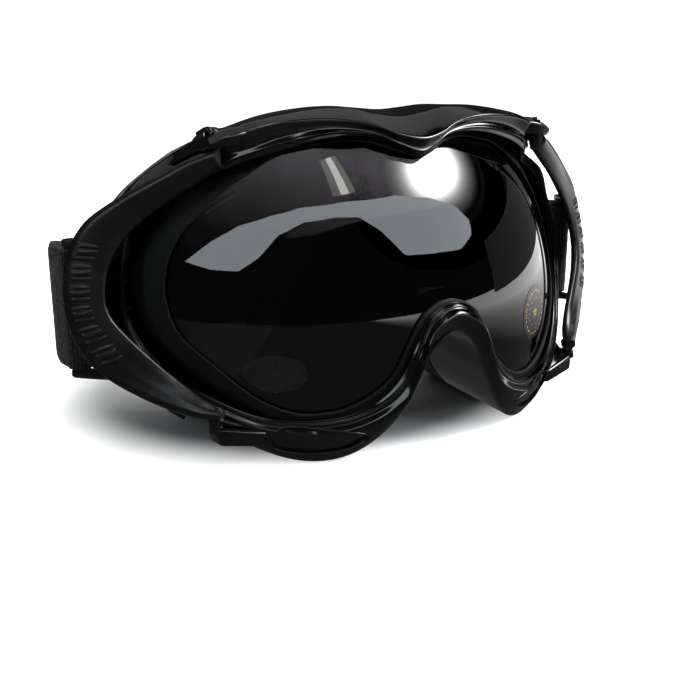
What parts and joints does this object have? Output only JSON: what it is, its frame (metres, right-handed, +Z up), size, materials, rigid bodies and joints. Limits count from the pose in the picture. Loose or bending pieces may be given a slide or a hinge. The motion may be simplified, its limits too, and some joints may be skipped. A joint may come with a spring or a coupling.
{
  "type": "motorcycle goggles",
  "caption": "Wide wrap-round goggles with a smoked spherical double lens, hinged strap outriggers, face foam and an elastic head strap.",
  "frame": {"origin": "middle of the whole object seen from above, on the plane it stands on", "axes": "+Z up, the lens faces -Y, X is left to right and the goggles are symmetric about X = 0"},
  "size_m": [0.2016, 0.1696, 0.101],
  "materials": {
    "frame_gloss": "gloss black moulding",
    "arm_plastic": "satin black moulding",
    "matte_rubber": "matte black",
    "pad_plastic": "dark gloss inset",
    "smoke_lens": "dark smoke, polished",
    "clear_lens": "clear",
    "foam": "open-cell foam",
    "fleece": "brushed fleece",
    "strap_webbing": "woven elastic",
    "adjuster_plastic": "satin black",
    "steel": "blackened steel",
    "gold_label": "printed film",
    "clear_label": "clear film"
  },
  "bodies": {
    "root": {"front_frame": "frame_gloss", "lens_rim": "matte_rubber", "outer_lens": "smoke_lens", "lens_spacer": "foam", "inner_lens": "clear_lens", "face_frame": "matte_rubber", "face_foam": "foam", "fleece_skin": "fleece", "top_vent_foam": "foam", "bottom_vent_foam": "foam", "side_vent_left": "matte_rubber", "side_vent_right": "matte_rubber", "upper_clips": "frame_gloss", "lower_clips": "frame_gloss", "cheek_pad_left": "pad_plastic", "cheek_pad_right": "pad_plastic", "upper_pin_left": "steel", "upper_pin_right": "steel", "lower_pin_left": "steel", "lower_pin_right": "steel", "strap_side_left": "strap_webbing", "strap_side_right": "strap_webbing", "strap_back": "strap_webbing", "lens_label": "gold_label", "size_label": "clear_label"},
    "outrigger_left": {"arm_left": "arm_plastic", "strap_bar_left": "steel", "strap_end_left": "strap_webbing"},
    "outrigger_right": {"arm_right": "arm_plastic", "strap_bar_right": "steel", "strap_end_right": "strap_webbing"},
    "slider_left": {"adjuster_left": "adjuster_plastic"},
    "slider_right": {"adjuster_right": "adjuster_plastic"}
  },
  "joints": [
    {"name": "outrigger_left_hinge", "type": "hinge", "parent": "root", "child": "outrigger_left", "pos_m": [-0.0604, -0.0479, 0.08891], "axis": [0.1123, 0.1713, 0.9788], "range_deg": [-3, 28], "deforming": ["strap_side_left"]},
    {"name": "outrigger_right_hinge", "type": "hinge", "parent": "root", "child": "outrigger_right", "pos_m": [0.0604, -0.0479, 0.08891], "axis": [0.1123, -0.1713, -0.9788], "range_deg": [-3, 28], "deforming": ["strap_side_right"]},
    {"name": "adjuster_left_slide", "type": "slide", "parent": "root", "child": "slider_left", "axis": [-1, 0, 0], "range_m": [-0.009, 0.003]},
    {"name": "adjuster_right_slide", "type": "slide", "parent": "root", "child": "slider_right", "axis": [1, 0, 0], "range_m": [-0.009, 0.003]}
  ]
}
